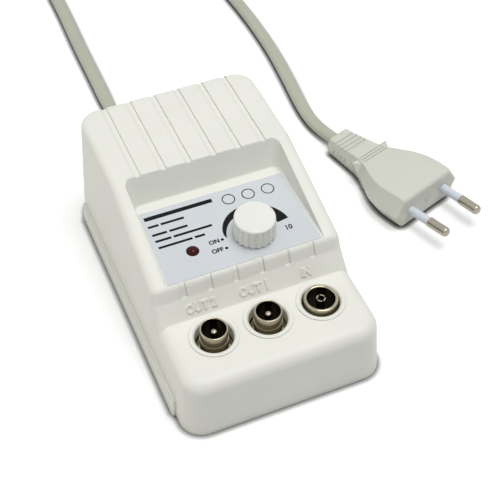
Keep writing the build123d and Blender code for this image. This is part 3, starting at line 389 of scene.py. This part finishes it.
def spline_points(points):
    """Points along the smooth spline of a route."""
    curve = bpy.data.curves.new("cord_route", "CURVE")
    curve.dimensions = "3D"
    curve.resolution_u = ROUTE_RESOLUTION
    spline = curve.splines.new("NURBS")
    spline.points.add(len(points) - 1)
    for target, point in zip(spline.points, points):
        target.co = (*point, 1)
    spline.order_u = ROUTE_ORDER
    spline.use_endpoint_u = True
    mesh = curve_mesh(curve)
    line = [vertex.co.copy() for vertex in mesh.vertices]
    bpy.data.meshes.remove(mesh)
    return line


def oval(width, height, count):
    """Flat oval outline with round ends, as pairs of across and up."""
    radius = height / 2
    reach = width / 2 - radius
    outline = []
    for index in range(count):
        angle = 2 * math.pi * (index + 0.5) / count
        across = radius * math.cos(angle) + math.copysign(reach, math.cos(angle))
        outline.append((across, radius * math.sin(angle)))
    return outline


def tube(name, line, section):
    """Mesh tube of a section along a line, with the section's up kept upright."""
    mesh = bmesh.new()
    rings = []
    for index, point in enumerate(line):
        before = line[max(index - 1, 0)]
        after = line[min(index + 1, len(line) - 1)]
        way = (after - before).normalized()
        side = Vector((0, 0, 1)).cross(way).normalized()
        up = way.cross(side)
        rings.append([mesh.verts.new(point + side * across + up * high) for across, high in section])
    for near, far in zip(rings, rings[1:]):
        for index in range(len(section)):
            other = (index + 1) % len(section)
            mesh.faces.new((near[index], near[other], far[other], far[index]))
    mesh.faces.new(reversed(rings[0]))
    mesh.faces.new(rings[-1])
    bmesh.ops.recalc_face_normals(mesh, faces=mesh.faces)
    return link(name, mesh_data(name, mesh))


def make_cord():
    """The flat twin cord in one length, with its coil."""
    line = spline_points(cord_route())
    cord = tube("mains_cord", line, oval(CORD_WIDTH, CORD_THICKNESS, CORD_SIDES))
    smooth(cord)
    paint(cord, plastic("cord_plastic", CORD_COLOUR, roughness=0.45, spread=0.02, relief=0.35))
    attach(cord, "root")
    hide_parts("mains_cord_rear", "mains_cord_coil", "mains_cord_front")


def new_material(name):
    """A material with its nodes, links, shader and coordinates."""
    material = bpy.data.materials.new(name)
    material.use_nodes = True
    nodes = material.node_tree.nodes
    shader = nodes["Principled BSDF"]
    place = nodes.new("ShaderNodeTexCoord")
    return material, nodes, material.node_tree.links, shader, place


def noise_node(nodes, links, place, size, detail):
    """Noise whose grains are about one size, in metres."""
    noise = nodes.new("ShaderNodeTexNoise")
    noise.inputs["Scale"].default_value = 1 / size
    noise.inputs["Detail"].default_value = detail
    links.new(place.outputs["Object"], noise.inputs["Vector"])
    return noise


def tint(nodes, links, noise, shader, colour, spread):
    """Two near shades of a colour, chosen by a noise."""
    ramp = nodes.new("ShaderNodeValToRGB")
    dark, light = ramp.color_ramp.elements
    dark.position = TINT_LOW
    light.position = TINT_HIGH
    dark.color = (*[value * (1 - spread) for value in colour], 1)
    light.color = (*[min(value * (1 + spread), 1) for value in colour], 1)
    links.new(noise.outputs["Fac"], ramp.inputs["Fac"])
    links.new(ramp.outputs["Color"], shader.inputs["Base Color"])


def bump(nodes, links, noise, shader, strength, depth, round_edge=0.0):
    """Fine relief from a noise, over edges that look rounded."""
    relief = nodes.new("ShaderNodeBump")
    if round_edge > 0:
        edge = nodes.new("ShaderNodeBevel")
        edge.samples = EDGE_SAMPLES
        edge.inputs["Radius"].default_value = round_edge
        links.new(edge.outputs["Normal"], relief.inputs["Normal"])
    relief.inputs["Strength"].default_value = strength
    relief.inputs["Distance"].default_value = depth
    links.new(noise.outputs["Fac"], relief.inputs["Height"])
    links.new(relief.outputs["Normal"], shader.inputs["Normal"])


def vary_roughness(nodes, links, noise, shader, low, high):
    """Roughness that wanders between two values."""
    spread = nodes.new("ShaderNodeMapRange")
    spread.inputs["To Min"].default_value = low
    spread.inputs["To Max"].default_value = high
    links.new(noise.outputs["Fac"], spread.inputs["Value"])
    links.new(spread.outputs["Result"], shader.inputs["Roughness"])


def plastic(name, colour, roughness, spread=0.015, relief=0.25, round_edge=0.0, specular=0.3):
    """Moulded plastic with a fine grain and faint clouds of shade."""
    material, nodes, links, shader, place = new_material(name)
    clouds = noise_node(nodes, links, place, PLASTIC_CLOUDS, CLOUD_DETAIL)
    tint(nodes, links, clouds, shader, colour, spread)
    low, high = roughness - PLASTIC_ROUGHNESS_STEP, roughness + PLASTIC_ROUGHNESS_STEP
    vary_roughness(nodes, links, clouds, shader, low, high)
    grain = noise_node(nodes, links, place, PLASTIC_GRAIN, GRAIN_DETAIL)
    bump(nodes, links, grain, shader, relief, PLASTIC_DEPTH, round_edge)
    shader.inputs["Specular IOR Level"].default_value = specular
    return material


def metal(name, colour, roughness, spread=0.03, relief=0.15):
    """Plated metal with a faint fine relief and faint clouds of tone."""
    material, nodes, links, shader, place = new_material(name)
    clouds = noise_node(nodes, links, place, METAL_CLOUDS, CLOUD_DETAIL)
    tint(nodes, links, clouds, shader, colour, spread)
    low, high = [roughness * share for share in METAL_ROUGHNESS_SHARES]
    vary_roughness(nodes, links, clouds, shader, low, high)
    grain = noise_node(nodes, links, place, METAL_GRAIN, GRAIN_DETAIL)
    bump(nodes, links, grain, shader, relief, METAL_DEPTH)
    shader.inputs["Metallic"].default_value = 1.0
    return material


def lens(name, colour, roughness=0.05, spread=0.2, specular=0.15):
    """Glossy dark plastic of the lamp."""
    material, nodes, links, shader, place = new_material(name)
    clouds = noise_node(nodes, links, place, LENS_CLOUDS, CLOUD_DETAIL)
    tint(nodes, links, clouds, shader, colour, spread)
    shader.inputs["Roughness"].default_value = roughness
    shader.inputs["Specular IOR Level"].default_value = specular
    return material


def make_materials():
    """One material for each finish, by name."""
    film = {"spread": 0.01, "relief": 0.05}
    ink = {"spread": 0.1, "relief": 0.05, "specular": 0.15}
    return {
        "shell": plastic("shell_plastic", SHELL_COLOUR, roughness=0.42, round_edge=SHELL_EDGE),
        "base": plastic("base_plastic", SHELL_COLOUR, roughness=0.5),
        "knob": plastic("knob_plastic", KNOB_COLOUR, roughness=0.36),
        "label": plastic("label_film", LABEL_COLOUR, roughness=0.3, **film),
        "ink": plastic("print_ink", INK_COLOUR, roughness=0.6, **ink),
        "cord": bpy.data.materials["cord_plastic"],
        "plug": plastic("plug_plastic", PLUG_COLOUR, roughness=0.45, round_edge=PLUG_EDGE),
        "sleeve": plastic("sleeve_plastic", SLEEVE_COLOUR, roughness=0.3, **film),
        "black": plastic("black_plastic", BLACK_COLOUR, roughness=0.4, specular=0.2),
        "nickel": metal("nickel_plate", NICKEL_COLOUR, roughness=0.08, relief=0.05),
        "barrel": metal("connector_plate", BARREL_COLOUR, roughness=0.07, relief=0.05),
        "zinc": metal("zinc_plate", ZINC_COLOUR, roughness=0.3),
        "aluminium": metal("aluminium", ALUMINIUM_COLOUR, roughness=0.35),
        "tin": metal("tinned_wire", TIN_COLOUR, roughness=0.3),
        "steel": metal("core_plates", STEEL_COLOUR, roughness=0.45),
        "copper": metal("enamelled_copper", COPPER_COLOUR, roughness=0.3),
        "lens": lens("red_lens", LENS_COLOUR),
        "board": plastic("solder_mask", BOARD_COLOUR, roughness=0.35),
        "track": plastic("track_board", TRACK_COLOUR, roughness=0.6),
        "bobbin": plastic("bobbin_plastic", BOBBIN_COLOUR, roughness=0.5),
        "ceramic": plastic("dipped_ceramic", CERAMIC_COLOUR, roughness=0.4),
        "resistor": plastic("resistor_lacquer", RESISTOR_COLOUR, roughness=0.4),
        "ferrite": plastic("ferrite", FERRITE_COLOUR, roughness=0.6),
        "can": plastic("capacitor_sleeve", CAN_COLOUR, roughness=0.25),
        "lead": plastic("lead_insulation", LEAD_COLOUR, roughness=0.4),
        "tail": plastic("tail_insulation", TAIL_COLOUR, roughness=0.4),
    }


def paint_nodes(materials):
    """Each CAD node takes its finish."""
    for name, finish in NODE_FINISH.items():
        paint(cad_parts[name], materials[finish])


def panel_matrix():
    """Place of the label's face, with X to the right, Y up the slope and the origin at y = 0."""
    height = PANEL_BACK_HEIGHT - PANEL_SLOPE_SHARE * PANEL_BACK_Y
    tilt = Matrix.Rotation(math.atan(PANEL_SLOPE_SHARE), 4, "X")
    return Matrix.Translation((0, 0, height)) @ tilt @ Matrix.Translation((0, 0, LABEL_THICKNESS))


def text_mesh(words, size, bold, depth=PRINT_THICKNESS, squeeze=1.0, edge=0.0):
    """Mesh of some words, centred on the origin."""
    curve = bpy.data.curves.new("words", "FONT")
    curve.body = words
    curve.size = size
    curve.align_x = "CENTER"
    curve.align_y = "CENTER"
    curve.extrude = depth / 2
    curve.bevel_depth = edge
    curve.offset = bold
    curve.resolution_u = TEXT_RESOLUTION
    mesh = curve_mesh(curve)
    mesh.transform(Matrix.Diagonal((squeeze, 1, 1, 1)))
    return mesh


def flat_mesh(outline, depth=PRINT_THICKNESS):
    """Thin prism of an outline given as pairs in metres."""
    mesh = bmesh.new()
    low = [mesh.verts.new((x, y, -depth / 2)) for x, y in outline]
    high = [mesh.verts.new((x, y, depth / 2)) for x, y in outline]
    mesh.faces.new(reversed(low))
    mesh.faces.new(high)
    for index in range(len(outline)):
        other = (index + 1) % len(outline)
        mesh.faces.new((low[index], low[other], high[other], high[index]))
    return mesh_data("flat", mesh)


def joined(name, parts):
    """One object from meshes and their places."""
    mesh = bmesh.new()
    for data, place in parts:
        data.transform(place)
        mesh.from_mesh(data)
        bpy.data.meshes.remove(data)
    return link(name, mesh_data(name, mesh))


def wedge_outline():
    """The dial's black wedge, which grows thicker clockwise round the knob."""
    inner, outer = [], []
    for index in range(WEDGE_STEPS + 1):
        share = index / WEDGE_STEPS
        angle = math.radians(WEDGE_START + (WEDGE_END - WEDGE_START) * share)
        ray = Vector((math.cos(angle), math.sin(angle)))
        inner.append(KNOB + ray * WEDGE_INNER)
        thick = WEDGE_THIN + (WEDGE_THICK - WEDGE_THIN) * share ** WEDGE_GROWTH
        outer.append(KNOB + ray * (WEDGE_INNER + thick))
    return inner + outer[::-1]


def disc_outline(radius, count):
    """Outline of a small disc."""
    angles = [2 * math.pi * index / count for index in range(count)]
    return [(radius * math.cos(angle), radius * math.sin(angle)) for angle in angles]


def bar_outline(width, height):
    """Outline of a bar whose left end is on the origin."""
    return [(0, -height / 2), (width, -height / 2), (width, height / 2), (0, height / 2)]


def ring_outlines(radius, line, count):
    """A ring as short sides, each with a four cornered outline."""
    turn = math.pi / count
    reach = radius / math.cos(turn)
    share = (radius - line) / radius
    outlines = []
    for index in range(count):
        angles = (2 * index * turn - turn, 2 * index * turn + turn)
        (x0, y0), (x1, y1) = [(reach * math.cos(angle), reach * math.sin(angle)) for angle in angles]
        outlines.append([(x0, y0), (x1, y1), (x1 * share, y1 * share), (x0 * share, y0 * share)])
    return outlines


def make_print(materials):
    """Ink on the label: dial wedge, switch words with dots, plain bars and rings."""
    panel = panel_matrix() @ Matrix.Translation((0, 0, PRINT_THICKNESS / 2 + PRINT_LIFT))

    def at(x, y):
        return panel @ Matrix.Translation((x * MM, y * MM, 0))

    parts = [(flat_mesh(wedge_outline()), panel)]
    for words, (x, y), size in LABEL_WORDS:
        parts.append((text_mesh(words, size * MM, LABEL_BOLD), at(x, y)))
    for x, y in LABEL_DOTS:
        parts.append((flat_mesh(disc_outline(DOT_RADIUS, DOT_SIDES)), at(x, y)))
    for (x, y), width, height in LABEL_BARS:
        parts.append((flat_mesh(bar_outline(width * MM, height * MM)), at(x, y)))
    for x, y in LABEL_RINGS:
        for outline in ring_outlines(RING_RADIUS, RING_LINE, RING_SIDES):
            parts.append((flat_mesh(outline), at(x, y)))
    ink = joined("label_print", parts)
    paint(ink, materials["ink"])
    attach(ink, "root")


def make_port_names(materials):
    """Raised names of the connectors on the step above the shelf."""
    right = Vector((1, 0, 0))
    slope = (NOSE - SHELF_BACK).normalized()
    middle = (NOSE + SHELF_BACK) / 2 - slope * NAME_DROP
    turn = Matrix((right, slope, right.cross(slope))).transposed().to_4x4()
    parts = []
    for words, x in PORT_NAMES:
        data = text_mesh(words, NAME_SIZE, NAME_BOLD, NAME_RISE, NAME_SQUEEZE, NAME_EDGE)
        parts.append((data, Matrix.Translation(middle + right * x * MM) @ turn))
    names = joined("port_names", parts)
    smooth(names)
    paint(names, materials["shell"])
    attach(names, "root")


def math_node(nodes, links, operation, first, second):
    """Result of an operation on two values, each from a socket or a number."""
    node = nodes.new("ShaderNodeMath")
    node.operation = operation
    for socket, value in zip(node.inputs, (first, second)):
        if isinstance(value, bpy.types.NodeSocket):
            links.new(value, socket)
        else:
            socket.default_value = value
    return node.outputs[0]


def mix_node(nodes, links, share, first, second):
    """A colour between two, the first of which is a colour or a socket."""
    node = nodes.new("ShaderNodeMix")
    node.data_type = "RGBA"
    if isinstance(first, bpy.types.NodeSocket):
        links.new(first, node.inputs["A"])
    else:
        node.inputs["A"].default_value = first
    node.inputs["B"].default_value = second
    links.new(share, node.inputs["Factor"])
    return node.outputs["Result"]


def seen_rays(nodes, links):
    """One for the rays that show the background: to the camera, in reflections and through glass."""
    rays = nodes.new("ShaderNodeLightPath")
    total = rays.outputs["Is Camera Ray"]
    for name in ("Is Glossy Ray", "Is Transmission Ray"):
        total = math_node(nodes, links, "MAXIMUM", total, rays.outputs[name])
    return total


def painted_contact_shade(nodes, links):
    """Painted shade of the table: one on the open table, falling towards nothing close to the
    object's edges.
    """
    contact = nodes.new("ShaderNodeAmbientOcclusion")
    contact.samples = CONTACT_SAMPLES
    contact.inputs["Distance"].default_value = CONTACT_REACH
    return math_node(nodes, links, "POWER", contact.outputs["AO"], CONTACT_POWER)


def floor_glow(nodes, links, place):
    """Glow of the table for the rays that show it, more with the distance from its middle."""
    away = nodes.new("ShaderNodeVectorMath")
    away.operation = "LENGTH"
    links.new(place.outputs["Object"], away.inputs[0])
    level = nodes.new("ShaderNodeMapRange")
    level.inputs["From Min"].default_value = GLOW_START
    level.inputs["From Max"].default_value = GLOW_END
    level.inputs["To Min"].default_value = NEAR_GLOW
    level.inputs["To Max"].default_value = FAR_GLOW
    links.new(away.outputs["Value"], level.inputs["Value"])
    return math_node(nodes, links, "MULTIPLY", seen_rays(nodes, links), level.outputs["Result"])


def floor_material():
    """White of the table, which keeps the object's shadow and has a painted shade close to the
    object's edges.
    """
    material, nodes, links, shader, place = new_material("floor_white")
    shader.inputs["Roughness"].default_value = FLOOR_ROUGHNESS
    shader.inputs["Specular IOR Level"].default_value = FLOOR_SPECULAR
    shader.inputs["Emission Color"].default_value = WHITE
    # Painted shade: the table's colour and glow fall towards black close to the object's edges
    shade = painted_contact_shade(nodes, links)
    links.new(mix_node(nodes, links, shade, BLACK, FLOOR_SHADE), shader.inputs["Base Color"])
    glow = math_node(nodes, links, "MULTIPLY", floor_glow(nodes, links, place), shade)
    links.new(glow, shader.inputs["Emission Strength"])
    return material


def make_floor():
    """Plain white table, with a painted shade in the last millimetres under the object's edges."""
    mesh = bmesh.new()
    bmesh.ops.create_grid(mesh, x_segments=1, y_segments=1, size=FLOOR_HALF)
    floor = link("floor", mesh_data("floor", mesh))
    paint(floor, floor_material())


def area_light(name, place, size, power, colour):
    """Soft square lamp that points at the origin."""
    data = bpy.data.lights.new(name, "AREA")
    data.shape = "RECTANGLE"
    data.size = size
    data.size_y = size
    data.energy = power
    data.color = colour
    look(link(name, data), place, Vector((0, 0, 0)))


def sky_colour(nodes, links):
    """Grey of the world by its height."""
    place = nodes.new("ShaderNodeTexCoord")
    split = nodes.new("ShaderNodeSeparateXYZ")
    links.new(place.outputs["Generated"], split.inputs[0])
    sky = nodes.new("ShaderNodeValToRGB")
    steps = sky.color_ramp.elements
    while len(steps) < len(SKY):
        steps.new(0.5)
    for step, (height, level) in zip(steps, SKY):
        step.position = height
        step.color = (level, level, level, 1)
    links.new(split.outputs["Z"], sky.inputs["Fac"])
    return sky.outputs["Color"]


def make_world():
    """A world that is brightest overhead, and white where it is seen."""
    world = bpy.data.worlds.new("world")
    world.use_nodes = True
    bpy.context.scene.world = world
    nodes, links = world.node_tree.nodes, world.node_tree.links
    colour = mix_node(nodes, links, seen_rays(nodes, links), sky_colour(nodes, links), WHITE)
    links.new(colour, nodes["Background"].inputs["Color"])


make_camera()
make_cord()
materials = make_materials()
paint_nodes(materials)
make_print(materials)
make_port_names(materials)
make_floor()
area_light("key", KEY_PLACE, KEY_SIZE, KEY_POWER, KEY_COLOUR)
area_light("fill", FILL_PLACE, FILL_SIZE, FILL_POWER, FILL_COLOUR)
make_world()
bpy.context.scene.view_settings.view_transform = "Standard"
